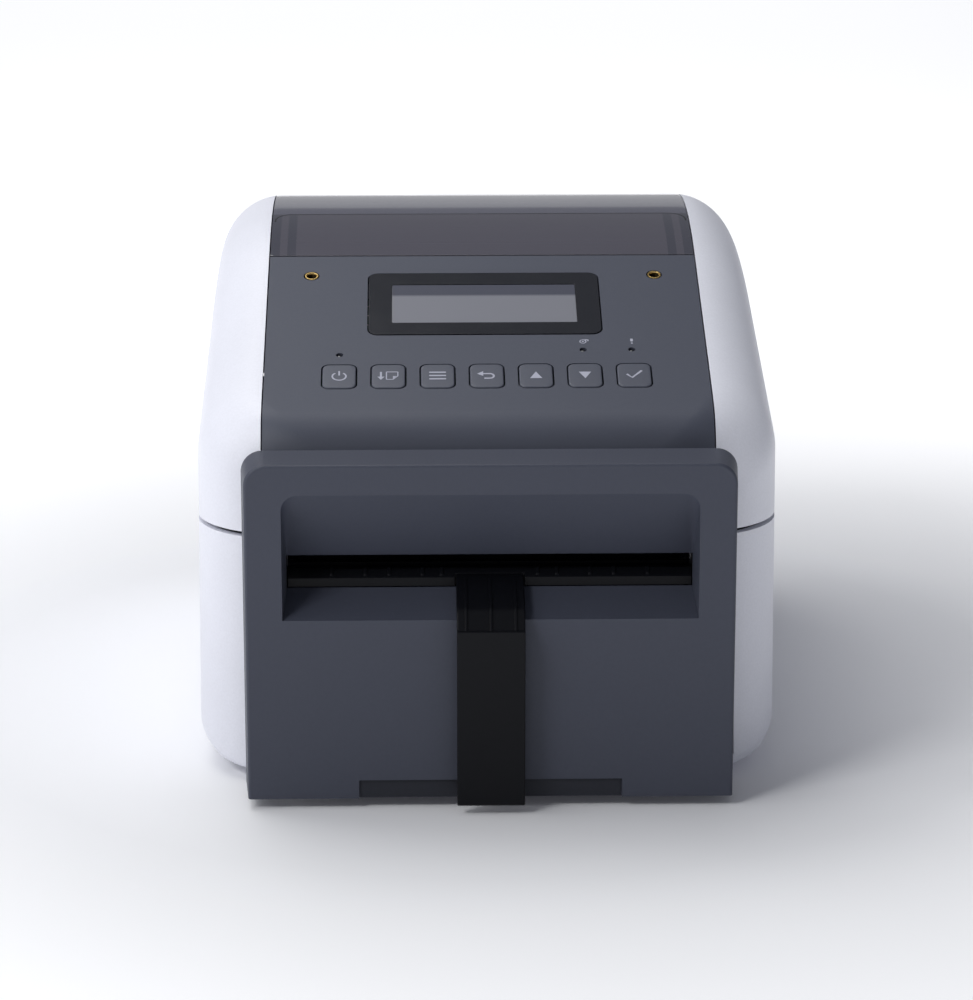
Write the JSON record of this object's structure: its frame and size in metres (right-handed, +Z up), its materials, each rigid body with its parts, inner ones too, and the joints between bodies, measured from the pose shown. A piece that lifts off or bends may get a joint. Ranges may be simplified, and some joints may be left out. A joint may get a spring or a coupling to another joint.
{
  "type": "desktop label printer with cutter",
  "caption": "Desktop label printer: light case, hinged cover with smoked window, sloped key panel with display, and a front cutter unit with a hanging label chute.",
  "frame": {"origin": "on the table, under the middle of the whole printer's box", "axes": "+X to the printer's right-hand side seen from the front, +Y from the front (cutter) to the rear (hinge and sockets), +Z up"},
  "size_m": [0.18, 0.2562, 0.1565],
  "materials": {
    "white_plastic": "satin moulded, very light lavender white",
    "panel_grey": "satin moulded, blue-grey",
    "cutter_grey": "fine textured, dark blue-grey",
    "inner_grey": "fine textured, charcoal",
    "black_plastic": "satin moulded, black",
    "smoke_window": "smoked clear plastic, polished",
    "gloss_black": "polished black",
    "screen": "grey display, unlit",
    "key_grey": "satin with light printed symbols",
    "rubber": "dull black",
    "roller_rubber": "ground rubber",
    "steel": "zinc plated sheet and ground steel",
    "brass": "turned",
    "gear_nylon": "natural nylon",
    "circuit_board": "green solder mask",
    "lamp_clear": "clear, unlit",
    "lever_grey": "satin moulded, mid grey"
  },
  "bodies": {
    "printer_base": {"lower_case": "white_plastic", "base_plate": "inner_grey", "foot_front_left": "rubber", "foot_front_right": "rubber", "foot_rear_left": "rubber", "foot_rear_right": "rubber", "roll_tray": "inner_grey", "side_frame_left": "steel", "side_frame_right": "steel", "frame_crossbar": "steel", "stepper_motor": "steel", "main_board": "circuit_board", "dc_inlet": "black_plastic", "usb_socket": "steel", "usb_host_socket": "steel", "lan_socket": "steel", "serial_socket": "black_plastic", "hinge_pin_left": "steel", "hinge_pin_right": "steel", "cutter_cover": "cutter_grey", "cutter_frame": "steel", "fixed_blade": "steel", "cutter_motor": "steel", "slot_guide": "black_plastic", "label_chute": "black_plastic"},
    "cover": {"upper_cover": "white_plastic", "control_panel": "panel_grey", "cover_window": "smoke_window", "cover_liner": "inner_grey", "control_board": "circuit_board", "display_bezel": "gloss_black", "display_module": "screen", "lamp_power": "lamp_clear", "lamp_status": "lamp_clear", "lamp_alert": "lamp_clear", "insert_left": "brass", "insert_right": "brass", "print_head": "steel", "head_bracket": "steel"},
    "platen": {"platen_shaft": "steel", "platen_roller": "roller_rubber", "platen_gear": "gear_nylon"},
    "idler": {"idler_gear": "gear_nylon"},
    "motor_pinion": {"motor_pinion": "brass"},
    "left_media_guide": {"guide_left": "lever_grey"},
    "right_media_guide": {"guide_right": "lever_grey"},
    "media_pinion": {"guide_pinion": "gear_nylon"},
    "media_sensor": {"sensor_carriage": "black_plastic"},
    "cover_latch": {"latch_bar": "steel", "release_lever_left": "lever_grey", "release_lever_right": "lever_grey"},
    "cutter_blade": {"moving_blade": "steel"},
    "cutter_drive": {"cutter_gear": "brass"},
    "power_key": {"key_power": "key_grey"},
    "feed_key": {"key_feed": "key_grey"},
    "menu_key": {"key_menu": "key_grey"},
    "back_key": {"key_back": "key_grey"},
    "up_key": {"key_up": "key_grey"},
    "down_key": {"key_down": "key_grey"},
    "ok_key": {"key_ok": "key_grey"}
  },
  "joints": [
    {"name": "cover_hinge", "type": "hinge", "parent": "printer_base", "child": "cover", "pos_m": [0, 0.1249, 0.079], "axis": [-1, 0, 0], "range_deg": [0, 85]},
    {"name": "platen_turn", "type": "hinge", "parent": "printer_base", "child": "platen", "pos_m": [0, -0.0816, 0.062], "axis": [1, 0, 0], "continuous": true},
    {"name": "idler_turn", "type": "hinge", "parent": "printer_base", "child": "idler", "pos_m": [0, -0.05549, 0.05188], "axis": [1, 0, 0], "continuous": true},
    {"name": "motor_pinion_turn", "type": "hinge", "parent": "printer_base", "child": "motor_pinion", "pos_m": [0, -0.0531, 0.028], "axis": [1, 0, 0], "continuous": true},
    {"name": "left_guide_slide", "type": "slide", "parent": "printer_base", "child": "left_media_guide", "axis": [1, 0, 0], "range_m": [0, 0.049]},
    {"name": "right_guide_slide", "type": "slide", "parent": "printer_base", "child": "right_media_guide", "axis": [-1, 0, 0], "range_m": [0, 0.049]},
    {"name": "guide_pinion_turn", "type": "hinge", "parent": "printer_base", "child": "media_pinion", "pos_m": [0, 0.0359, 0.0082], "axis": [0, 0, 1], "range_deg": [0, 351.9]},
    {"name": "sensor_slide", "type": "slide", "parent": "printer_base", "child": "media_sensor", "axis": [1, 0, 0], "range_m": [-0.024, 0.024]},
    {"name": "latch_turn", "type": "hinge", "parent": "printer_base", "child": "cover_latch", "pos_m": [0, -0.0361, 0.062], "axis": [-1, 0, 0], "range_deg": [0, 12], "stiffness_Nm_per_rad": 0.1, "springref_deg": -11.46},
    {"name": "blade_slide", "type": "slide", "parent": "printer_base", "child": "cutter_blade", "axis": [0, 0, 1], "range_m": [0, 0.013]},
    {"name": "cutter_gear_turn", "type": "hinge", "parent": "printer_base", "child": "cutter_drive", "pos_m": [0.0555, -0.1028, 0.03], "axis": [0, -1, 0], "range_deg": [0, 94.1]},
    {"name": "power_key_press", "type": "slide", "parent": "cover", "child": "power_key", "axis": [0, 0.3584, -0.9336], "range_m": [0, 0.0008], "stiffness_N_per_m": 200, "springref_m": -0.001},
    {"name": "feed_key_press", "type": "slide", "parent": "cover", "child": "feed_key", "axis": [0, 0.3584, -0.9336], "range_m": [0, 0.0008], "stiffness_N_per_m": 200, "springref_m": -0.001},
    {"name": "menu_key_press", "type": "slide", "parent": "cover", "child": "menu_key", "axis": [0, 0.3584, -0.9336], "range_m": [0, 0.0008], "stiffness_N_per_m": 200, "springref_m": -0.001},
    {"name": "back_key_press", "type": "slide", "parent": "cover", "child": "back_key", "axis": [0, 0.3584, -0.9336], "range_m": [0, 0.0008], "stiffness_N_per_m": 200, "springref_m": -0.001},
    {"name": "up_key_press", "type": "slide", "parent": "cover", "child": "up_key", "axis": [0, 0.3584, -0.9336], "range_m": [0, 0.0008], "stiffness_N_per_m": 200, "springref_m": -0.001},
    {"name": "down_key_press", "type": "slide", "parent": "cover", "child": "down_key", "axis": [0, 0.3584, -0.9336], "range_m": [0, 0.0008], "stiffness_N_per_m": 200, "springref_m": -0.001},
    {"name": "ok_key_press", "type": "slide", "parent": "cover", "child": "ok_key", "axis": [0, 0.3584, -0.9336], "range_m": [0, 0.0008], "stiffness_N_per_m": 200, "springref_m": -0.001}
  ],
  "couplings": [
    {"joint": "idler_turn", "follows": "platen_turn", "ratio": -0.55556},
    {"joint": "motor_pinion_turn", "follows": "platen_turn", "ratio": 1.6667},
    {"joint": "right_guide_slide", "follows": "left_guide_slide", "ratio": 1},
    {"joint": "guide_pinion_turn", "follows": "left_guide_slide", "rad_per_m": 125},
    {"joint": "cutter_gear_turn", "follows": "blade_slide", "rad_per_m": 125}
  ]
}
